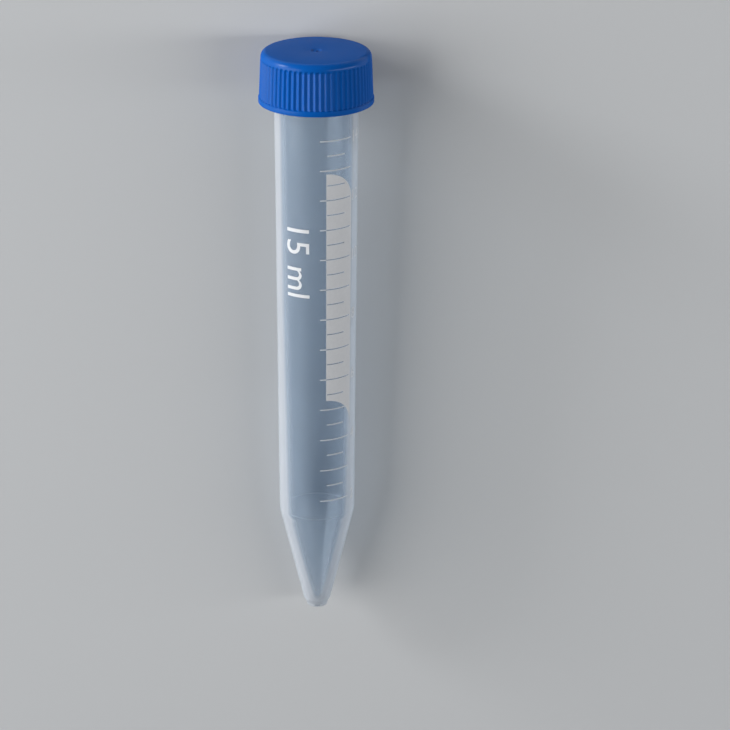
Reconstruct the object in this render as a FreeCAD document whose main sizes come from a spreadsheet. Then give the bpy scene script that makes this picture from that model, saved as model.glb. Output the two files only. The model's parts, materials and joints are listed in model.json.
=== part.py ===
"""15 ml conical centrifuge tube with its screw cap.

Two mouldings: the tube (round neck, long drafted cylinder, cone, small flat foot) and the one-piece cap
(flat top with a gate mark, rounded shoulder, fine ribs, smooth collar, plug seal inside).

Each body is drawn upright about its own Z axis: the tube from its foot, the cap from its open end. Both are
then laid on their side the way the closed tube comes to rest, on the cap's collar and on the shoulder where
the cylinder meets the cone. Lengths are in millimetres.
"""

import FreeCAD, Part
import math
import os

import Sketcher

DIMS = [
    # the tube's lengths along its axis, from the foot up
    ("tube_length", 118.70),
    ("cone_length", 22.26),
    ("foot_length", 0.65),
    ("heel_length", 1.10),
    ("neck_below_cap", 0.55),
    # the tube's outer radii
    ("neck_radius", 8.30),
    ("shoulder_radius", 7.70),
    ("heel_radius", 2.76),
    ("foot_radius", 2.15),
    # the tube's wall and inside
    ("mouth_wall", 0.97),
    ("shoulder_wall", 0.92),
    ("base_thickness", 1.30),
    ("well_radius", 1.75),
    # the tube's softened edges
    ("rim_bevel", 0.22),
    ("shoulder_round", 4.00),
    ("foot_bevel", 0.28),
    # the cap's lengths along its axis
    ("cap_height", 10.30),
    ("cap_plate", 1.25),
    ("cap_seat_gap", 0.05),
    ("cap_lead_in", 0.45),
    ("cap_shoulder_round", 1.25),
    # the cap's skirt, outwards from the tube's neck
    ("thread_room", 1.45),
    ("cap_wall", 0.87),
    ("cap_draft", 0.39),
    # the smooth collar at the cap's open end
    ("collar_height", 1.10),
    ("collar_lip", 0.17),
    ("collar_bevel", 0.15),
    # the ribs between the collar and the shoulder
    ("rib_count", 64),
    ("rib_height", 0.27),
    ("rib_width", 0.74),
    ("rib_crest_width", 0.32),
    ("rib_crest_drop", 0.02),
    ("rib_to_shoulder", 0.05),
    # the plug seal that hangs from the cap's plate into the mouth
    ("plug_clearance", 0.10),
    ("plug_wall", 0.85),
    ("plug_depth", 2.30),
    ("plug_lead_in", 0.30),
    # the gate mark in the middle of the cap's top
    ("gate_radius", 1.10),
    ("gate_floor_radius", 0.70),
    ("gate_depth", 0.24),
    ("gate_nub_radius", 0.28),
    ("gate_nub_height", 0.20),
]

doc = FreeCAD.newDocument("conical_tube")
dims = doc.addObject("Spreadsheet::Sheet", "dims")
for row, (alias, value) in enumerate(DIMS, start=1):
    dims.set(f"A{row}", alias)
    dims.set(f"B{row}", str(value))
    dims.setAlias(f"B{row}", alias)
doc.recompute()


def value_of(formula):
    """The number that a formula over the sheet's cells gives."""
    return float(dims.evalExpression(formula))


def new_body(label):
    """An empty body with its own name."""
    body = doc.addObject("PartDesign::Body", label)
    body.Label = label
    return body


def new_sketch(body, name, role, height="0"):
    """A sketch on one of the body's own origin planes, raised along the plane's normal."""
    sketch = body.newObject("Sketcher::SketchObject", name)
    plane = next(p for p in body.Origin.OriginFeatures if p.Role == role)
    sketch.AttachmentSupport = [(plane, "")]
    sketch.MapMode = "FlatFace"
    sketch.setExpression("AttachmentOffset.Base.z", height)
    return sketch


def place_point(sketch, geometry, end, across, up):
    """Hold one point of the sketch at a place that two formulas give."""
    for kind, formula in (("DistanceX", across), ("DistanceY", up)):
        distance = value_of(formula)
        if distance:
            index = sketch.addConstraint(Sketcher.Constraint(kind, -1, 1, geometry, end, distance))
            sketch.setExpression(f"Constraints[{index}]", formula)
        else:
            axis = -2 if kind == "DistanceX" else -1
            sketch.addConstraint(Sketcher.Constraint("PointOnObject", geometry, end, axis))


def draw_outline(sketch, corners):
    """Close a ring of straight lines through the corners, each given as (across, up)."""
    points = [FreeCAD.Vector(value_of(across), value_of(up), 0) for across, up in corners]
    for start, end in zip(points, points[1:] + points[:1]):
        sketch.addGeometry(Part.LineSegment(start, end), False)
    for line in range(len(corners)):
        after = (line + 1) % len(corners)
        sketch.addConstraint(Sketcher.Constraint("Coincident", line, 2, after, 1))
    for line, (across, up) in enumerate(corners):
        place_point(sketch, line, 1, across, up)
    return sketch


def revolve(body, name, section):
    """Turn a section once round the body's axis."""
    turned = body.newObject("PartDesign::Revolution", name)
    turned.Profile = section
    turned.ReferenceAxis = (section, ["V_Axis"])
    turned.Angle = 360
    doc.recompute()
    return turned


def soften_edges(body, kind, name, amount, corners):
    """Fillet or chamfer the ring edges of the body's tip that lie at the given corners of its section."""
    base = body.Tip
    wanted = [(value_of(across), value_of(up)) for across, up in corners]
    names = []
    for number, edge in enumerate(base.Shape.Edges, start=1):
        curve = edge.Curve
        if not isinstance(curve, Part.Circle):
            continue
        for across, up in wanted:
            if abs(curve.Radius - across) < 1e-5 and abs(curve.Center.z - up) < 1e-5:
                names.append(f"Edge{number}")
    if len(names) != len(wanted):
        raise RuntimeError(f"{name} found {len(names)} of {len(wanted)} edges")
    softened = body.newObject(f"PartDesign::{kind}", name)
    softened.Base = (base, names)
    softened.setExpression("Radius" if kind == "Fillet" else "Size", amount)
    doc.recompute()


# ---- places that both mouldings share, as formulas over the sheet ----
CAP_TOP = "(dims.tube_length + dims.cap_seat_gap + dims.cap_plate)"
CAP_OPEN_END = f"({CAP_TOP} - dims.cap_height)"
NECK_START = f"({CAP_OPEN_END} - dims.neck_below_cap)"
MOUTH_RADIUS = "(dims.neck_radius - dims.mouth_wall)"

# ---- the tube: one section through its wall, turned round ----
HEEL = "(dims.foot_length + dims.heel_length)"
TUBE_FOOT = ("dims.foot_radius", "0")
TUBE_SHOULDER = ("dims.shoulder_radius", "dims.cone_length")
TUBE_INNER_SHOULDER = ("dims.shoulder_radius - dims.shoulder_wall", "dims.cone_length")
TUBE_RIM_OUTER = ("dims.neck_radius", "dims.tube_length")
TUBE_RIM_INNER = (MOUTH_RADIUS, "dims.tube_length")

tube = new_body("tube")
tube_section = draw_outline(
    new_sketch(tube, "tube_section", "YZ_Plane"),
    [
        ("0", "0"),
        TUBE_FOOT,
        ("dims.foot_radius", "dims.foot_length"),
        ("dims.heel_radius", HEEL),
        TUBE_SHOULDER,
        ("dims.neck_radius", NECK_START),
        TUBE_RIM_OUTER,
        TUBE_RIM_INNER,
        TUBE_INNER_SHOULDER,
        ("dims.well_radius", "dims.base_thickness"),
        ("0", "dims.base_thickness"),
    ],
)
revolve(tube, "tube_wall", tube_section)
soften_edges(tube, "Fillet", "tube_shoulder", "dims.shoulder_round", [TUBE_SHOULDER])
soften_edges(tube, "Chamfer", "tube_rim", "dims.rim_bevel", [TUBE_RIM_OUTER, TUBE_RIM_INNER])
soften_edges(tube, "Chamfer", "tube_foot", "dims.foot_bevel", [TUBE_FOOT])

# ---- the cap: skirt, plate, plug seal and gate mark in one section, with a band sunk in for the ribs ----
SKIRT_BORE = "(dims.neck_radius + dims.thread_room)"
ROOT_LOW = f"({SKIRT_BORE} + dims.cap_wall + dims.cap_draft)"
ROOT_HIGH = f"({SKIRT_BORE} + dims.cap_wall)"
TIP_LOW = f"({ROOT_LOW} + dims.rib_height)"
TIP_HIGH = f"({ROOT_HIGH} + dims.rib_height)"
COLLAR_RADIUS = f"({TIP_LOW} + dims.collar_lip)"
RIB_TOP = "(dims.cap_height - dims.cap_shoulder_round - dims.rib_to_shoulder)"
RIB_LENGTH = f"({RIB_TOP} - dims.collar_height)"
PLATE_UNDER = "(dims.cap_height - dims.cap_plate)"
PLUG_RADIUS = f"({MOUTH_RADIUS} - dims.plug_clearance)"
PLUG_END = f"({PLATE_UNDER} - dims.plug_depth)"
GATE_FLOOR = "(dims.cap_height - dims.gate_depth)"
GATE_NUB_TOP = f"({GATE_FLOOR} + dims.gate_nub_height)"
CAP_SHOULDER = (TIP_HIGH, "dims.cap_height")
CAP_COLLAR_END = (COLLAR_RADIUS, "0")

cap = new_body("cap")
cap_section = draw_outline(
    new_sketch(cap, "cap_section", "XZ_Plane"),
    [
        ("0", GATE_NUB_TOP),
        ("dims.gate_nub_radius", GATE_NUB_TOP),
        ("dims.gate_nub_radius", GATE_FLOOR),
        ("dims.gate_floor_radius", GATE_FLOOR),
        ("dims.gate_radius", "dims.cap_height"),
        CAP_SHOULDER,
        (TIP_HIGH, RIB_TOP),
        (ROOT_HIGH, RIB_TOP),
        (ROOT_LOW, "dims.collar_height"),
        (TIP_LOW, "dims.collar_height"),
        (COLLAR_RADIUS, "dims.collar_height - dims.collar_lip"),
        CAP_COLLAR_END,
        (f"{SKIRT_BORE} + dims.cap_lead_in", "0"),
        (SKIRT_BORE, "dims.cap_lead_in"),
        (SKIRT_BORE, PLATE_UNDER),
        (PLUG_RADIUS, PLATE_UNDER),
        (PLUG_RADIUS, f"{PLUG_END} + dims.plug_lead_in"),
        (f"{PLUG_RADIUS} - dims.plug_lead_in", PLUG_END),
        (f"{PLUG_RADIUS} - dims.plug_wall", PLUG_END),
        (f"{PLUG_RADIUS} - dims.plug_wall", PLATE_UNDER),
        ("0", PLATE_UNDER),
    ],
)
cap_shell = revolve(cap, "cap_shell", cap_section)
soften_edges(cap, "Fillet", "cap_shoulder", "dims.cap_shoulder_round", [CAP_SHOULDER])
soften_edges(cap, "Chamfer", "cap_collar", "dims.collar_bevel", [CAP_COLLAR_END])

# one rib stands on the collar, leans in with the skirt's draft and runs into the shoulder; the rest follow
RIB_ROOT = f"({ROOT_LOW} - dims.rib_height / 4)"
RIB_CREST = f"({TIP_LOW} - dims.rib_crest_drop)"
rib_sketch = draw_outline(
    new_sketch(cap, "rib_section", "XY_Plane", "dims.collar_height"),
    [
        (RIB_ROOT, "-dims.rib_width / 2"),
        (RIB_CREST, "-dims.rib_crest_width / 2"),
        (RIB_CREST, "dims.rib_crest_width / 2"),
        (RIB_ROOT, "dims.rib_width / 2"),
    ],
)

rib = cap.newObject("PartDesign::Pad", "rib")
rib.Profile = rib_sketch
rib.UseCustomVector = True
rib.AlongSketchNormal = True
rib.setExpression("Direction.x", "-dims.cap_draft")
rib.setExpression("Direction.y", "0")
rib.setExpression("Direction.z", RIB_LENGTH)
rib.setExpression("Length", RIB_LENGTH)
doc.recompute()

ribs = cap.newObject("PartDesign::PolarPattern", "ribs")
ribs.Originals = [rib]
ribs.Axis = (rib_sketch, ["N_Axis"])
ribs.Angle = 360
ribs.setExpression("Occurrences", "dims.rib_count")
cap.Tip = ribs
doc.recompute()

# ---- the closed tube laid on its side, touching the ground at its shoulder and at the cap's collar ----


def section_point(across, up):
    """A corner of the closed tube's section, as (height, radius)."""
    return FreeCAD.Vector(value_of(up), value_of(across), 0)


def round_centre(before, corner, after, radius):
    """The centre of the round at a corner of a section."""
    backward = (before - corner).normalize()
    forward = (after - corner).normalize()
    half_angle = backward.getAngle(forward) / 2
    inward = (backward + forward).normalize()
    return corner + inward * (radius / math.sin(half_angle))


# the ground runs from the collar's edge to the round of the shoulder, and just touches the round
collar_edge = section_point(COLLAR_RADIUS, f"{CAP_OPEN_END} + dims.collar_bevel")
shoulder_centre = round_centre(
    section_point("dims.heel_radius", HEEL),
    section_point(*TUBE_SHOULDER),
    section_point("dims.neck_radius", NECK_START),
    value_of("dims.shoulder_round"),
)
span = collar_edge - shoulder_centre
tilt = math.atan2(span.y, span.x) - math.asin(value_of("dims.shoulder_round") / span.Length)

lying = FreeCAD.Placement(FreeCAD.Vector(), FreeCAD.Rotation(FreeCAD.Vector(1, 0, 0), math.degrees(tilt) - 90))
cap_seat = FreeCAD.Placement(FreeCAD.Vector(0, 0, value_of(CAP_OPEN_END)), FreeCAD.Rotation())
tube.Placement = lying
cap.Placement = lying * cap_seat
doc.recompute()

box = Part.makeCompound([tube.Shape, cap.Shape]).optimalBoundingBox(False)
ground = FreeCAD.Placement(
    FreeCAD.Vector(-(box.XMin + box.XMax) / 2, -(box.YMin + box.YMax) / 2, -box.ZMin),
    FreeCAD.Rotation(),
)
for body in (tube, cap):
    body.Placement = ground * body.Placement
doc.recompute()

# ---- check the document, then write one file for each moulding ----
for item in doc.Objects:
    if {"Invalid", "Error"} & set(item.State):
        raise RuntimeError(f"{item.Name} failed: {item.State}")
for body in (tube, cap):
    shape = body.Shape
    if shape.isNull() or not shape.isValid() or len(shape.Solids) != 1:
        raise RuntimeError(f"{body.Label} is not one valid solid")
if cap.Shape.Volume - cap_shell.Shape.Volume < value_of("dims.rib_count * dims.rib_height"):
    raise RuntimeError("the ribs are missing")

os.makedirs("parts", exist_ok=True)
for body in (tube, cap):
    body.Shape.exportStep(f"parts/{body.Label}.step")
    print(body.Label, f"{body.Shape.Volume:.1f} mm3", f"{len(body.Shape.Faces)} faces")
print(f"laid at {math.degrees(tilt):.3f} degrees")
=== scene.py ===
"""Looks of a capped conical lab tube that lies on its side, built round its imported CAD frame.

Every length is in millimetres in the tube's own frame: heights run from the foot along the tube's axis,
and azimuths turn from the side that faces up towards the row's +X.
"""

import json
import math

import bmesh
import bpy
from mathutils import Matrix, Vector


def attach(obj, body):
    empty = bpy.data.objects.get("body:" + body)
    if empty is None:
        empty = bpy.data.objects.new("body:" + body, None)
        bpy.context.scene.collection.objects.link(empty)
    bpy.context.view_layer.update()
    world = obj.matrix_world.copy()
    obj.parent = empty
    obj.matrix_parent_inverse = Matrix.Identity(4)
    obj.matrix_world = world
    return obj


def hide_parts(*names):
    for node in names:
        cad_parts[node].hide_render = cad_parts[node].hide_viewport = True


MM = 0.001

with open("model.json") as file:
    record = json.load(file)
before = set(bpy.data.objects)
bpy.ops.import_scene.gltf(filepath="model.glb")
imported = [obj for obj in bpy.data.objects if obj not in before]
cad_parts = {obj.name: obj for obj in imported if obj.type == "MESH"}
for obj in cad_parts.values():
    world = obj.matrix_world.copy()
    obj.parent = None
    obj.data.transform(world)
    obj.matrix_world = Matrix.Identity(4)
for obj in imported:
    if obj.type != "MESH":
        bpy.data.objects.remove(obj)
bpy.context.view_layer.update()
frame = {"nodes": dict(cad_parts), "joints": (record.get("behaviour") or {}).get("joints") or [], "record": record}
scene = bpy.context.scene

# ---- where the tube lies ----
mounts = {mount["name"]: mount for mount in frame["record"]["mounts"]}
FOOT = Vector(mounts["foot_end"]["pos_m"])
AXIS = Vector(frame["joints"][0]["axis"]).normalized()
SIDE = Vector((1, 0, 0))
UPPER = SIDE.cross(AXIS)


def at(radius, height, azimuth=0.0):
    """A point of the row from a radius, a height and an azimuth in radians."""
    outward = UPPER * math.cos(azimuth) + SIDE * math.sin(azimuth)
    return FOOT + (outward * radius + AXIS * height) * MM


# ---- the mouldings' sizes, as in the source ----
TUBE_LENGTH = 118.70
CAP_HEIGHT = 10.30
CAP_TOP = 120.00
CAP_OPEN_END = CAP_TOP - CAP_HEIGHT
NECK_START = CAP_OPEN_END - 0.55
NECK_RADIUS = 8.30
MOUTH_RADIUS = 7.33
SHOULDER_HEIGHT = 22.26
SHOULDER_RADIUS = 7.70
INNER_SHOULDER_RADIUS = 6.78
FOOT_RADIUS = 2.15
FOOT_LENGTH = 0.65
HEEL_RADIUS = 2.76
HEEL_HEIGHT = FOOT_LENGTH + 1.10
WELL_RADIUS = 1.75
WELL_FLOOR = 1.30
RIM_ROUND = 0.28
SOFT_SHOULDER = 4.00
CREASE_DEPTH = 0.07
SKIRT_BORE = 9.75
LEAD_IN = 0.45
RIB_COUNT = 64
RIB_HEIGHT = 0.27
GROOVE_FULLNESS = 1.5
GROOVE_FOOT = 0.05
CAP_SHOULDER_ROUND = 1.25
RIB_TOP = CAP_HEIGHT - CAP_SHOULDER_ROUND - 0.05
SKIRT_RADIUS_LOW = 11.28
SKIRT_RADIUS_HIGH = 10.89
COLLAR_HEIGHT = 1.10
COLLAR_LIP = 0.17
COLLAR_RADIUS = SKIRT_RADIUS_LOW + COLLAR_LIP
PLATE_UNDER = CAP_HEIGHT - 1.25
PLUG_RADIUS = MOUTH_RADIUS - 0.10
PLUG_BORE = PLUG_RADIUS - 0.85
PLUG_LEAD_IN = 0.30
PLUG_END = PLATE_UNDER - 2.30
GATE_RADIUS = 1.10
GATE_FLOOR_RADIUS = 0.70
GATE_FLOOR = CAP_HEIGHT - 0.24
GATE_NUB_RADIUS = 0.28
GATE_NUB_DRAFT = 0.02
GATE_NUB_TOP = GATE_FLOOR + 0.20

# ---- how fine the mouldings' meshes are: columns round them, and steps along them ----
TUBE_COLUMNS = 192
RIBBED_COLUMNS = 18 * RIB_COUNT
PLAIN_COLUMNS = 3 * RIB_COUNT
CONE_STEP = 1.5
BARREL_STEP = 8.0
NECK_THREAD_STEP = 0.12
CAP_THREAD_STEP = 0.15
RIB_END_STEP = 0.07

# ---- the white bands that the wall shows along the tube's edges, seen from a little above square ----
BAND_WIDTH_LOW = 1.45
BAND_WIDTH_HIGH = 1.05
BAND_TAPER = 60.0
BARREL_LEAN = math.radians(15)
CONE_LEAN = math.radians(28)

# ---- the screw thread, one ridge on the neck and one inside the cap, just under it ----
THREAD_PITCH = 3.10
THREAD_TURNS = 1.40
THREAD_BASE = 1.20
THREAD_CREST = 0.45
THREAD_FADE = math.radians(25)
NECK_THREAD_START = 112.30
NECK_THREAD_DEPTH = 0.85
CAP_THREAD_START = NECK_THREAD_START - 1.27
CAP_THREAD_DEPTH = 0.72

# ---- the printed scale ----
INK_BASE = 0.004
INK_TOP = 0.034
LINE_WIDTH = 0.20
SCALE_SHRINK = 0.9955
LONG_LINE = (math.radians(5.8), math.radians(55))
SHORT_LINE = (math.radians(16), math.radians(43.5))
PATCH_START = math.radians(14.8)
PATCH_WIDTH = 6.10
PATCH_TOP_VOLUME = 12.885
PATCH_LOW_VOLUME = 5.30
NUMERAL_START = math.radians(61)
NUMERAL_HEIGHT = 2.30
CAPACITY_LEFT = math.radians(-44)
CAPACITY_TOP = 85.5
CAPACITY_HEIGHT = 4.9
FIRST_MARK = 2
LAST_MARK = 14
BEND_STEP = 0.45


def smooth(share):
    """An S-curve from 0 to 1."""
    share = min(1.0, max(0.0, share))
    return share * share * (3 - 2 * share)


# ---- meshes ----
def skin(name, rings):
    """A closed mesh over rings of points. Where two rings meet, one's count divides the other's."""
    mesh = bmesh.new()
    rows = [[mesh.verts.new(point) for point in points] for points in rings]
    for low, high in zip(rows, rows[1:]):
        single = min(len(low), len(high)) == 1
        count = max(len(low), len(high)) if single else min(len(low), len(high))
        for number in range(count):
            corners = run_of(low, number, count) + run_of(high, number, count)[::-1]
            mesh.faces.new(corners)
    bmesh.ops.recalc_face_normals(mesh, faces=mesh.faces)
    return new_piece(name, mesh)


def run_of(row, number, count):
    """The points of a ring that one face out of count uses."""
    if len(row) == 1:
        return list(row)
    step = len(row) // count
    return [row[(number * step + extra) % len(row)] for extra in range(step + 1)]


def new_piece(name, mesh, sharp=math.radians(32)):
    """An object from a bmesh, smooth except across sharp corners."""
    data = bpy.data.meshes.new(name)
    mesh.to_mesh(data)
    mesh.free()
    data.shade_smooth()
    data.set_sharp_from_angle(angle=sharp)
    piece = bpy.data.objects.new(name, data)
    scene.collection.objects.link(piece)
    return piece


def rounded(corners, step=math.radians(12)):
    """A section's points from its corners, each given as (radius, height, round)."""
    points = []
    for number, (across, up, size) in enumerate(corners):
        corner = Vector((across, up))
        if not size:
            points.append(corner)
            continue
        before = Vector(corners[number - 1][:2]) - corner
        after = Vector(corners[number + 1][:2]) - corner
        half = before.angle(after) / 2
        reach = size / math.tan(half)
        centre = corner + (before.normalized() + after.normalized()).normalized() * (size / math.sin(half))
        start = corner + before.normalized() * reach - centre
        turn = math.pi - 2 * half
        if start.cross(corner + after.normalized() * reach - centre) < 0:
            turn = -turn
        pieces = max(2, round(abs(turn) / step))
        for piece in range(pieces + 1):
            angle = turn * piece / pieces
            cos, sin = math.cos(angle), math.sin(angle)
            points.append(centre + Vector((start.x * cos - start.y * sin, start.x * sin + start.y * cos)))
    return points


def divided(points, low, high, step):
    """The section with its long runs between two heights cut into short ones."""
    cut = [points[0]]
    for start, end in zip(points, points[1:]):
        inside = low - 1e-6 <= min(start.y, end.y) and max(start.y, end.y) <= high + 1e-6
        pieces = max(1, math.ceil(abs(end.y - start.y) / step)) if inside else 1
        cut += [start.lerp(end, piece / pieces) for piece in range(1, pieces + 1)]
    return cut


def thread_ridge(height, azimuth, start):
    """How much of the thread's full depth stands at a place on its cylinder."""
    most = 0.0
    for wrap in range(math.ceil(THREAD_TURNS)):
        turned = azimuth % math.tau + wrap * math.tau
        left = THREAD_TURNS * math.tau - turned
        if left < 0:
            continue
        off = abs(height - start - THREAD_PITCH * turned / math.tau)
        flank = (THREAD_BASE / 2 - off) / (THREAD_BASE / 2 - THREAD_CREST / 2)
        most = max(most, smooth(flank) * smooth(turned / THREAD_FADE) * smooth(left / THREAD_FADE))
    return most


def ring(count, radius, height, change=None):
    """The points of one ring. change gives what the radius gains at each azimuth."""
    if radius < 1e-6:
        return [at(0, height)]
    points = []
    for number in range(count):
        azimuth = math.tau * number / count
        points.append(at(radius + (change(azimuth) if change else 0.0), height, azimuth))
    return points


def tube_section():
    """The tube's section from the middle of its foot, up the outside and down the bore."""
    section = rounded(
        [
            (0, 0, 0),
            (FOOT_RADIUS, 0, 0.34),
            (FOOT_RADIUS, FOOT_LENGTH, 0.12),
            (HEEL_RADIUS, HEEL_HEIGHT, 0.30),
            (SHOULDER_RADIUS, SHOULDER_HEIGHT, SOFT_SHOULDER),
            (NECK_RADIUS, NECK_START, SOFT_SHOULDER),
            (NECK_RADIUS, TUBE_LENGTH, RIM_ROUND),
            (MOUTH_RADIUS, TUBE_LENGTH, RIM_ROUND),
            (INNER_SHOULDER_RADIUS, SHOULDER_HEIGHT + 0.10, 0),
            (INNER_SHOULDER_RADIUS - CREASE_DEPTH, SHOULDER_HEIGHT, 0.04),
            (INNER_SHOULDER_RADIUS - 0.04, SHOULDER_HEIGHT - 0.14, 0),
            (WELL_RADIUS, WELL_FLOOR, 0.45),
            (0, WELL_FLOOR, 0),
        ]
    )
    section = divided(section, NECK_START, TUBE_LENGTH, NECK_THREAD_STEP)
    section = divided(section, WELL_FLOOR, SHOULDER_HEIGHT, CONE_STEP)
    return divided(section, SHOULDER_HEIGHT, NECK_START, BARREL_STEP)


def neck_thread(height):
    """What the thread adds to the neck's radius at a height, as a function of the azimuth."""
    return lambda azimuth: NECK_THREAD_DEPTH * thread_ridge(height, azimuth, NECK_THREAD_START)


def tube_moulding():
    """The tube with its rounded rim, soft shoulders, conical end, flat foot and the thread on its neck."""
    section = tube_section()
    bore_start = max(number for number, place in enumerate(section) if place.y > TUBE_LENGTH - 0.01)
    rings = []
    for radius, height in section:
        on_neck = radius > NECK_RADIUS - 0.01 and height > NECK_START
        rings.append(ring(TUBE_COLUMNS, radius, height, neck_thread(height) if on_neck else None))
    piece = skin("tube_moulding", rings)
    mark_rings(piece, "bore", rings, [float(number >= bore_start) for number in range(len(section))])
    # the crease's ring, where a painted glint of its sharp inner edge goes
    mark_rings(piece, "crease_glint", rings, [on_crease(*place) for place in section])
    mark_rings(piece, "band", rings, [0.5 / band_start(*place) for place in section])
    return piece


def mark_rings(piece, name, rings, values):
    """Keep a number for each ring's points on the piece, for its material to read."""
    marks = piece.data.attributes.new(name, "FLOAT", "POINT")
    marks.data.foreach_set("value", [value for points, value in zip(rings, values) for _ in points])


def on_crease(radius, height):
    """1 on the round of the crease inside the shoulder, where a painted glint goes, and 0 elsewhere."""
    return 1.0 if radius < INNER_SHOULDER_RADIUS - 0.045 and abs(height - SHOULDER_HEIGHT) < 0.12 else 0.0


def band_start(radius, height):
    """Where the white band along an edge starts, as Layer Weight's Facing of the outside."""
    narrowed = smooth((height - SHOULDER_HEIGHT) / BAND_TAPER)
    width = BAND_WIDTH_LOW + (BAND_WIDTH_HIGH - BAND_WIDTH_LOW) * narrowed
    share = max(0.3, 1 - width / max(radius, 0.1))
    lean = math.cos(CONE_LEAN if height < SHOULDER_HEIGHT - 1.0 else BARREL_LEAN)
    return 1 - lean * math.sqrt(1 - share * share)


def groove(height, azimuth, radius):
    """How deep a groove between two ribs is at a place on the skirt, as a share of the ribs' height."""
    half_pitch = math.pi / RIB_COUNT * radius
    across = (azimuth * RIB_COUNT / math.tau % 1 - 0.5) * 2 * half_pitch
    past_end = max(0.0, height - (RIB_TOP - half_pitch))
    off = min(1.0, math.hypot(across, past_end) / half_pitch)
    foot = (height - COLLAR_HEIGHT) / GROOVE_FOOT
    return math.cos(off * math.pi / 2) ** GROOVE_FULLNESS * smooth(foot)


def cap_outside():
    """The cap's section from the gate mark out to the open end, with the skirt cut for its grooves."""
    outside = rounded(
        [
            (0, GATE_NUB_TOP, 0),
            (GATE_NUB_RADIUS, GATE_NUB_TOP, 0.10),
            (GATE_NUB_RADIUS + GATE_NUB_DRAFT, GATE_FLOOR, 0.04),
            (GATE_FLOOR_RADIUS, GATE_FLOOR, 0.05),
            (GATE_RADIUS, CAP_HEIGHT, 0.10),
            (SKIRT_RADIUS_HIGH, CAP_HEIGHT, CAP_SHOULDER_ROUND),
            (SKIRT_RADIUS_LOW, COLLAR_HEIGHT, 0),
            (COLLAR_RADIUS, COLLAR_HEIGHT - COLLAR_LIP, 0.05),
            (COLLAR_RADIUS, 0, 0.16),
            (SKIRT_BORE + LEAD_IN, 0, 0),
        ]
    )
    skirt_start = next(n for n, point in enumerate(outside) if abs(point.y - COLLAR_HEIGHT) < 1e-6) - 1
    skirt_top, skirt_foot = outside[skirt_start], outside[skirt_start + 1]
    heights = [skirt_top.y - RIB_END_STEP * number for number in range(1, 12)] + [7.0, 5.0, 3.0, 1.6]
    heights += [COLLAR_HEIGHT + GROOVE_FOOT * share for share in (1.0, 0.75, 0.5, 0.25)]
    slope = (skirt_foot.x - skirt_top.x) / (skirt_foot.y - skirt_top.y)
    skirt = [Vector((skirt_top.x + slope * (height - skirt_top.y), height)) for height in heights]
    outside[skirt_start + 1 : skirt_start + 1] = skirt
    return outside


def cap_inside():
    """The cap's section from the open end in, up the threaded bore and round the plug seal."""
    inside = rounded(
        [
            (SKIRT_BORE + LEAD_IN, 0, 0),
            (SKIRT_BORE, LEAD_IN, 0.20),
            (SKIRT_BORE, PLATE_UNDER, 0.30),
            (PLUG_RADIUS, PLATE_UNDER, 0.15),
            (PLUG_RADIUS, PLUG_END + PLUG_LEAD_IN, 0.20),
            (PLUG_RADIUS - PLUG_LEAD_IN, PLUG_END, 0.10),
            (PLUG_BORE, PLUG_END, 0.10),
            (PLUG_BORE, PLATE_UNDER, 0.15),
            (0, PLATE_UNDER, 0),
        ]
    )
    return divided(inside, 0.5, PLATE_UNDER - 0.25, CAP_THREAD_STEP)


def rib_grooves(height, radius):
    """What the grooves take off the skirt at a height, as a function of the azimuth."""
    return lambda azimuth: -RIB_HEIGHT * groove(height, azimuth, radius)


def cap_thread(height):
    """What the thread takes off the skirt's bore at a height, as a function of the azimuth."""
    along = CAP_OPEN_END + height
    return lambda azimuth: -CAP_THREAD_DEPTH * thread_ridge(along, azimuth, CAP_THREAD_START)


def cap_moulding():
    """The cap with its ribbed skirt, collar, gate mark, plug seal and the thread inside."""
    rings = []
    for radius, height in cap_outside():
        on_ribs = radius > SKIRT_RADIUS_HIGH - 0.2 and COLLAR_HEIGHT < height < RIB_TOP + 0.2
        change = rib_grooves(height, radius) if on_ribs else None
        count = RIBBED_COLUMNS if radius > 9 else PLAIN_COLUMNS
        rings.append(ring(count, radius, CAP_OPEN_END + height, change))
    for radius, height in cap_inside():
        on_bore = abs(radius - SKIRT_BORE) < 0.01
        change = cap_thread(height) if on_bore else None
        rings.append(ring(PLAIN_COLUMNS, radius, CAP_OPEN_END + height, change))
    return skin("cap_moulding", rings)


# ---- print: flat outlines in (azimuth, height), wrapped on the wall and given the ink's thickness ----
def wall_radius(height):
    """The tube's outer radius between the shoulder and the neck."""
    share = (height - SHOULDER_HEIGHT) / (NECK_START - SHOULDER_HEIGHT)
    return SHOULDER_RADIUS + (NECK_RADIUS - SHOULDER_RADIUS) * share


def volume_height(millilitres):
    """The height that a volume fills the tube to."""
    cone = cone_volume(WELL_RADIUS, INNER_SHOULDER_RADIUS, SHOULDER_HEIGHT - WELL_FLOOR)
    slope = (MOUTH_RADIUS - INNER_SHOULDER_RADIUS) / (TUBE_LENGTH - SHOULDER_HEIGHT)
    low, high = 0.0, TUBE_LENGTH - SHOULDER_HEIGHT
    for _ in range(40):
        middle = (low + high) / 2
        filled = cone + cone_volume(INNER_SHOULDER_RADIUS, INNER_SHOULDER_RADIUS + slope * middle, middle)
        if filled < millilitres * 1000:
            low = middle
        else:
            high = middle
    return SHOULDER_HEIGHT + low * SCALE_SHRINK


def cone_volume(low, high, length):
    """The volume of a cone's slice."""
    return math.pi * length * (low * low + low * high + high * high) / 3


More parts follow.
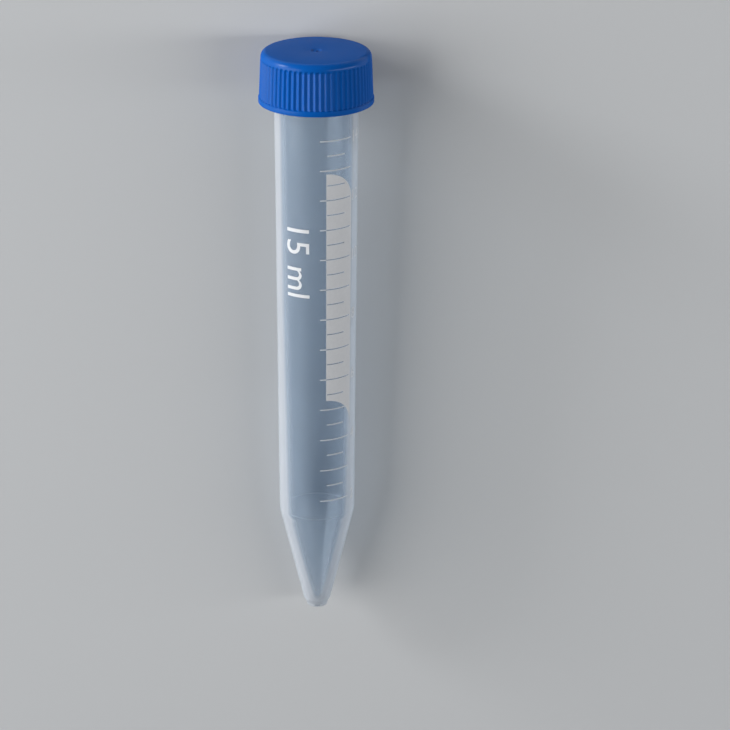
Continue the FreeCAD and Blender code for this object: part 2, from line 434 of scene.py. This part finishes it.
def print_piece(name, points, faces):
    """Ink over the given faces of (azimuth, height) points."""
    mesh = bmesh.new()
    fronts = [mesh.verts.new(at(wall_radius(up) + INK_TOP, up, around)) for around, up in points]
    backs = [mesh.verts.new(at(wall_radius(up) + INK_BASE, up, around)) for around, up in points]
    edges = {}
    for face in faces:
        mesh.faces.new([fronts[corner] for corner in face])
        mesh.faces.new([backs[corner] for corner in reversed(face)])
        for start, end in zip(face, face[1:] + face[:1]):
            edges[start, end] = edges.get((start, end), 0) + 1
    for start, end in edges:
        if (end, start) not in edges:
            mesh.faces.new([fronts[end], fronts[start], backs[start], backs[end]])
    bmesh.ops.recalc_face_normals(mesh, faces=mesh.faces)
    return new_piece(name, mesh)


def strip(points, faces, start, end, height, width):
    """Add a line round part of the tube."""
    pieces = max(1, round((end - start) / math.radians(2)))
    first = len(points)
    for piece in range(pieces + 1):
        around = start + (end - start) * piece / pieces
        points += [(around, height - width / 2), (around, height + width / 2)]
    for piece in range(pieces):
        corner = first + 2 * piece
        faces.append((corner, corner + 2, corner + 3, corner + 1))


def patch_edges(height_top, height_low, off):
    """The patch's lowest and highest height at a distance round from its left edge."""
    fall = PATCH_WIDTH - math.sqrt(max(0.0, PATCH_WIDTH**2 - off**2))
    return height_low - fall, height_top - fall


def text_outline(text, size):
    """A line of plain figures as a flat mesh in millimetres, with its left foot at the origin."""
    curve = bpy.data.curves.new("figures", "FONT")
    curve.body = text
    curve.size = 1.0
    curve.resolution_u = 6
    writing = bpy.data.objects.new("figures", curve)
    scene.collection.objects.link(writing)
    bpy.context.view_layer.update()
    flat = bpy.data.meshes.new_from_object(writing)
    bpy.data.objects.remove(writing)
    bpy.data.curves.remove(curve)
    mesh = bmesh.new()
    mesh.from_mesh(flat)
    bpy.data.meshes.remove(flat)
    low = min(vert.co.x for vert in mesh.verts)
    tall = max(vert.co.y for vert in mesh.verts)
    for vert in mesh.verts:
        vert.co = Vector(((vert.co.x - low) * size / tall, vert.co.y * size / tall, 0))
    return mesh


def cut_every(mesh, direction, step):
    """Cut a flat mesh into narrow bands, so that it bends smoothly round the tube."""
    reach = [vert.co.dot(direction) for vert in mesh.verts]
    place = math.ceil(min(reach) / step) * step
    while place < max(reach):
        geometry = mesh.verts[:] + mesh.edges[:] + mesh.faces[:]
        bmesh.ops.bisect_plane(mesh, geom=geometry, plane_co=direction * place, plane_no=direction)
        place += step


def wrapped(mesh, points, faces, place):
    """Add a flat mesh's faces, each point put where place says."""
    mesh.verts.index_update()
    first = len(points)
    points += [place(vert.co) for vert in mesh.verts]
    faces += [tuple(first + vert.index for vert in face.verts) for face in mesh.faces]
    mesh.free()


def scale_lines():
    """The graduations outside the patch: a long line at each millilitre, and short ones between."""
    points, faces = [], []
    for half in range(2 * FIRST_MARK, 2 * LAST_MARK + 1):
        height = volume_height(half / 2)
        long = half % 2 == 0
        start, end = LONG_LINE if long else SHORT_LINE
        beside = PATCH_LOW < height < PATCH_HIGH
        if beside and long:
            strip(points, faces, start, PATCH_START, height, LINE_WIDTH)
        elif not beside:
            strip(points, faces, start, end, height, LINE_WIDTH)
    return print_piece("scale_lines", points, faces)


def bare_lines():
    """The graduations that cross the patch, each as two heights and two azimuths."""
    bare = []
    for half in range(2 * FIRST_MARK, 2 * LAST_MARK + 1):
        height = volume_height(half / 2)
        start, end = LONG_LINE if half % 2 == 0 else SHORT_LINE
        bare.append((height - LINE_WIDTH / 2, height + LINE_WIDTH / 2, max(start, PATCH_START), end))
    return bare


def writing_patch():
    """The white patch for notes, with the graduations left bare in it."""
    bare = bare_lines()
    middle = wall_radius((PATCH_LOW + PATCH_HIGH) / 2)
    offs = {PATCH_WIDTH * math.sin(math.radians(angle)) for angle in range(0, 91, 5)}
    offs |= {(edge - PATCH_START) * middle for edge in (*SHORT_LINE, LONG_LINE[1])}
    offs = sorted(offs)
    ups = {PATCH_HIGH, PATCH_LOW - PATCH_WIDTH}
    for low, high, _, _ in bare:
        ups |= {low, high}
    ups = sorted(up for up in ups if PATCH_LOW - PATCH_WIDTH <= up <= PATCH_HIGH)
    points, faces, known = [], [], {}

    def corner(off, up):
        low, high = patch_edges(PATCH_HIGH, PATCH_LOW, off)
        key = (round(off, 5), round(min(high, max(low, up)), 5))
        if key not in known:
            known[key] = len(points)
            points.append((PATCH_START + key[0] / middle, key[1]))
        return known[key]

    for left, right in zip(offs, offs[1:]):
        around = PATCH_START + (left + right) / 2 / middle
        for low, high in zip(ups, ups[1:]):
            if any(a < (low + high) / 2 < b and start < around < end for a, b, start, end in bare):
                continue
            face = [corner(left, low), corner(right, low), corner(right, high), corner(left, high)]
            face = [c for n, c in enumerate(face) if c != face[n - 1]]
            if len(face) > 2:
                faces.append(tuple(face))
    return print_piece("writing_patch", points, faces)


def scale_figures():
    """The plain volume figures beside every second long line."""
    points, faces = [], []
    for volume in range(FIRST_MARK, LAST_MARK + 1, 2):
        height = volume_height(volume)
        radius = wall_radius(height)
        mesh = text_outline(str(volume), NUMERAL_HEIGHT)
        cut_every(mesh, Vector((1, 0, 0)), BEND_STEP)
        foot = height - NUMERAL_HEIGHT / 2
        wrapped(mesh, points, faces, lambda co: (NUMERAL_START + co.x / radius, foot + co.y))
    return print_piece("scale_figures", points, faces)


def capacity_figures():
    """The tube's volume in large plain figures down its left side."""
    points, faces = [], []
    mesh = text_outline("15 ml", CAPACITY_HEIGHT)
    cut_every(mesh, Vector((0, 1, 0)), BEND_STEP)

    def down_the_side(co):
        height = CAPACITY_TOP - co.x
        return CAPACITY_LEFT + co.y / wall_radius(height), height

    wrapped(mesh, points, faces, down_the_side)
    return print_piece("capacity_figures", points, faces)


PATCH_HIGH = volume_height(PATCH_TOP_VOLUME)
PATCH_LOW = volume_height(PATCH_LOW_VOLUME)


# ---- materials ----
def new_material(name):
    """A material with an empty node tree."""
    material = bpy.data.materials.new(name)
    material.use_nodes = True
    material.node_tree.nodes.clear()
    return material


def node(material, kind, **inputs):
    """A node with its inputs set or linked. A key is set_ATTRIBUTE, i and a number, or the input's name."""
    made = material.node_tree.nodes.new(kind)
    for key, value in inputs.items():
        if key.startswith("set_"):
            setattr(made, key[4:], value)
            continue
        numbered = key[0] == "i" and key[1:].isdigit()
        socket = made.inputs[int(key[1:]) if numbered else key.replace("_", " ")]
        if isinstance(value, bpy.types.NodeSocket):
            material.node_tree.links.new(value, socket)
        else:
            socket.default_value = value
    return made


def ramp(material, factor, stops):
    """Grey values read off a ramp at a factor. Each stop is (place, value)."""
    made = node(material, "ShaderNodeValToRGB", Fac=factor)
    points = made.color_ramp.elements
    while len(points) < len(stops):
        points.new(1.0)
    for point, (place, value) in zip(points, stops):
        point.position = place
        point.color = (value, value, value, 1)
    return made.outputs["Color"]


def blend(material, factor, low, high):
    """A colour between two by a factor."""
    return node(material, "ShaderNodeMix", set_data_type="RGBA", i0=factor, i6=low, i7=high).outputs[2]


def either(material, factor, low, high):
    """A number between two by a factor."""
    return node(material, "ShaderNodeMix", set_data_type="FLOAT", i0=factor, i2=low, i3=high).outputs[0]


def product(material, first, second):
    """Two numbers multiplied."""
    return node(material, "ShaderNodeMath", set_operation="MULTIPLY", i0=first, i1=second).outputs[0]


def over(material, factor, below, above):
    """One shader over another by a factor."""
    return node(material, "ShaderNodeMixShader", i0=factor, i1=below, i2=above).outputs[0]


def kept_number(material, name):
    """A number that a mesh keeps for its points."""
    return node(material, "ShaderNodeAttribute", set_attribute_name=name).outputs["Fac"]


def haze(material, pattern, bump, low, high):
    """Light scattered back and light let through by milky plastic, in equal parts."""
    colour = blend(material, pattern, low, high)
    lit = node(material, "ShaderNodeBsdfDiffuse", Color=colour, Normal=bump).outputs[0]
    glow = node(material, "ShaderNodeBsdfTranslucent", Color=colour, Normal=bump).outputs[0]
    return over(material, 0.5, lit, glow)


def natural_plastic():
    """Milky see-through polypropylene. It turns white where the line of sight runs along in the wall. A white ring
    on the crease inside the shoulder is a painted glint, and a dark line where the bore turns away is painted
    shade.
    """
    m = new_material("natural_polypropylene")
    place = node(m, "ShaderNodeTexCoord").outputs["Object"]
    along = node(m, "ShaderNodeMapping", Vector=place, Scale=(900, 60, 900)).outputs[0]
    flow = node(m, "ShaderNodeTexNoise", Vector=along, Scale=1.0, Detail=3.0).outputs["Fac"]
    bump = node(m, "ShaderNodeBump", Strength=0.06, Distance=0.0002, Height=flow).outputs[0]
    cloud = node(m, "ShaderNodeTexNoise", Vector=place, Scale=90.0, Detail=2.0).outputs["Fac"]
    blue_haze = haze(m, cloud, bump, (0.42, 0.52, 0.64, 1), (0.49, 0.58, 0.69, 1))
    white_haze = haze(m, cloud, bump, (0.66, 0.68, 0.71, 1), (0.74, 0.75, 0.77, 1))
    clear = node(m, "ShaderNodeBsdfTransparent", Color=(0.87, 0.905, 0.935, 1)).outputs[0]
    facing = node(m, "ShaderNodeLayerWeight", Blend=0.5).outputs["Facing"]
    inner = kept_number(m, "bore")

    # how much of the light meets haze: blue face on, white along the outside's edges, and white on the crease as a
    # painted glint
    thin = ramp(m, facing, [(0.0, 0.16), (0.35, 0.20), (0.60, 0.34), (1.0, 0.50)])
    aside = product(m, facing, kept_number(m, "band"))
    outer = ramp(m, aside, [(0.0, 0.0), (0.30, 0.03), (0.44, 0.22), (0.53, 0.70), (0.80, 0.78), (1.0, 0.62)])
    bore = ramp(m, facing, [(0.0, 0.0), (0.45, 0.04), (0.80, 0.10), (1.0, 0.10)])
    thick = either(m, inner, outer, bore)
    # painted highlight: white haze laid on the crease's ring as the glint of its inner edge
    crease_glint = product(m, kept_number(m, "crease_glint"), 0.70)

    # the thin dark line where the bore turns away: painted shade, a dark diffuse laid there in place of the
    # darkening that refraction gives
    painted_dark_line = product(m, inner, ramp(m, facing, [(0.0, 0.0), (0.70, 0.0), (0.88, 0.32), (1.0, 0.32)]))
    painted_bore_shade = node(m, "ShaderNodeBsdfDiffuse", Color=(0.10, 0.12, 0.15, 1)).outputs[0]
    wall = over(m, thin, clear, blue_haze)
    wall = over(m, thick, wall, white_haze)
    # painted shade over the wall along the bore's turning edge
    wall = over(m, painted_dark_line, wall, painted_bore_shade)
    wall = over(m, crease_glint, wall, white_haze)

    # the gloss, stronger at a slant and on the outside
    outside = ramp(m, facing, [(0.0, 0.04), (0.50, 0.06), (0.72, 0.13), (0.86, 0.26), (1.0, 0.55)])
    inside = ramp(m, facing, [(0.0, 0.04), (0.50, 0.06), (0.80, 0.10), (1.0, 0.15)])
    gloss = node(m, "ShaderNodeBsdfGlossy", Color=(1, 1, 1, 1), Roughness=0.13, Normal=bump).outputs[0]
    surface = over(m, either(m, inner, outside, inside), wall, gloss)
    node(m, "ShaderNodeOutputMaterial", Surface=surface)
    return m


def blue_plastic():
    """Satin moulded blue with a very fine grain and slight wear of its gloss."""
    m = new_material("blue_plastic")
    place = node(m, "ShaderNodeTexCoord").outputs["Object"]
    grain = node(m, "ShaderNodeTexNoise", Vector=place, Scale=2500.0, Detail=2.0).outputs["Fac"]
    cloud = node(m, "ShaderNodeTexNoise", Vector=place, Scale=260.0, Detail=3.0).outputs["Fac"]
    colour = blend(m, cloud, (0.0015, 0.078, 0.35, 1), (0.002, 0.086, 0.37, 1))
    rough = node(m, "ShaderNodeMapRange", Value=cloud, To_Min=0.21, To_Max=0.27).outputs[0]
    bump = node(m, "ShaderNodeBump", Strength=0.03, Distance=0.00003, Height=grain).outputs[0]
    facing = node(m, "ShaderNodeLayerWeight", Blend=0.5).outputs["Facing"]
    steep = [(0.0, 0.10), (0.25, 0.12), (0.42, 0.25), (0.50, 0.25)]
    gloss = ramp(m, facing, steep + [(0.62, 0.015), (0.85, 0.015), (1.0, 0.10)])
    surface = node(
        m,
        "ShaderNodeBsdfPrincipled",
        Base_Color=colour,
        Roughness=rough,
        Normal=bump,
        Specular_IOR_Level=gloss,
    ).outputs[0]
    node(m, "ShaderNodeOutputMaterial", Surface=surface)
    return m


def white_ink():
    """Matt white print, a little uneven."""
    m = new_material("white_ink")
    place = node(m, "ShaderNodeTexCoord").outputs["Object"]
    cloud = node(m, "ShaderNodeTexNoise", Vector=place, Scale=1500.0, Detail=3.0).outputs["Fac"]
    colour = blend(m, cloud, (0.57, 0.58, 0.60, 1), (0.64, 0.65, 0.67, 1))
    surface = node(m, "ShaderNodeBsdfPrincipled", Base_Color=colour, Roughness=0.55).outputs[0]
    node(m, "ShaderNodeOutputMaterial", Surface=surface)
    return m


def floor_plastic():
    """The plain pale floor."""
    m = new_material("pale_floor")
    surface = node(
        m,
        "ShaderNodeBsdfPrincipled",
        Base_Color=(0.50, 0.51, 0.52, 1),
        Roughness=0.8,
        Specular_IOR_Level=0.1,
    ).outputs[0]
    node(m, "ShaderNodeOutputMaterial", Surface=surface)
    return m


def dress(piece, material, body):
    """Give a piece its material and the body that it moves with."""
    piece.data.materials.append(material)
    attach(piece, body)


# ---- the room. The camera's place is in the tube's own frame ----
CAMERA_ALONG = 280.42
CAMERA_ASIDE = 9.83
CAMERA_ABOVE = 572.63
CAMERA_TILT = math.radians(21.59)
CAMERA_ROLL = 0.0045
CAMERA_LENS = 149.14


def add_floor():
    """A wide floor under the tube."""
    mesh = bmesh.new()
    bmesh.ops.create_grid(mesh, x_segments=8, y_segments=8, size=3.0)
    floor = new_piece("floor", mesh)
    floor.data.materials.append(floor_plastic())


def add_lamp(name, place, target, size, power):
    """A soft rectangular lamp, in metres and watts."""
    light = bpy.data.lights.new(name, "AREA")
    light.shape = "RECTANGLE"
    light.size, light.size_y = size
    light.energy = power
    lamp = bpy.data.objects.new(name, light)
    lamp.location = place
    lamp.rotation_euler = (Vector(target) - Vector(place)).to_track_quat("-Z", "Y").to_euler()
    scene.collection.objects.link(lamp)


def add_world(strength):
    """An even pale surround."""
    world = bpy.data.worlds.new("surround")
    world.use_nodes = True
    background = world.node_tree.nodes["Background"]
    background.inputs["Color"].default_value = (0.92, 0.96, 1.0, 1)
    background.inputs["Strength"].default_value = strength
    scene.world = world


def add_camera():
    """The camera looks down on the lying tube, from beyond its cap's end."""
    eye = at(0, CAMERA_ALONG) + (SIDE * CAMERA_ASIDE + UPPER * CAMERA_ABOVE) * MM
    forward = -UPPER * math.cos(CAMERA_TILT) - AXIS * math.sin(CAMERA_TILT)
    up = AXIS * math.cos(CAMERA_TILT) - UPPER * math.sin(CAMERA_TILT)
    right = forward.cross(up)
    cos, sin = math.cos(CAMERA_ROLL), math.sin(CAMERA_ROLL)
    right, up = right * cos + up * sin, up * cos - right * sin
    data = bpy.data.cameras.new("camera")
    data.sensor_width = 36
    data.lens = CAMERA_LENS
    data.clip_start = 0.01
    camera = bpy.data.objects.new("camera", data)
    rows = [[right[n], up[n], -forward[n], eye[n]] for n in range(3)]
    camera.matrix_world = Matrix(rows + [[0, 0, 0, 1]])
    scene.collection.objects.link(camera)
    scene.camera = camera


polypropylene, blue, ink = natural_plastic(), blue_plastic(), white_ink()
for name, material in (("tube", polypropylene), ("cap", blue)):
    slots = frame["nodes"][name].data.materials
    slots.clear()
    slots.append(material)

tube = tube_moulding()
dress(tube, polypropylene, "tube")
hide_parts("tube")
cap = cap_moulding()
dress(cap, blue, "cap")
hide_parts("cap")
for piece in (scale_lines(), writing_patch(), scale_figures(), capacity_figures()):
    dress(piece, ink, "tube")

add_floor()
add_world(0.14)
add_lamp("key", (-1.15, 0.05, 0.66), (0, 0, 0), (0.85, 1.3), 18.0)
add_lamp("fill", (0.66, 0.05, 0.42), (0, 0, 0), (0.12, 0.9), 3.2)
add_lamp("back", (-0.80, 0.45, 0.20), (0, 0.05, 0), (0.25, 0.25), 6.0)
add_camera()

scene.view_settings.view_transform = "Standard"
scene.cycles.transparent_max_bounces = 32
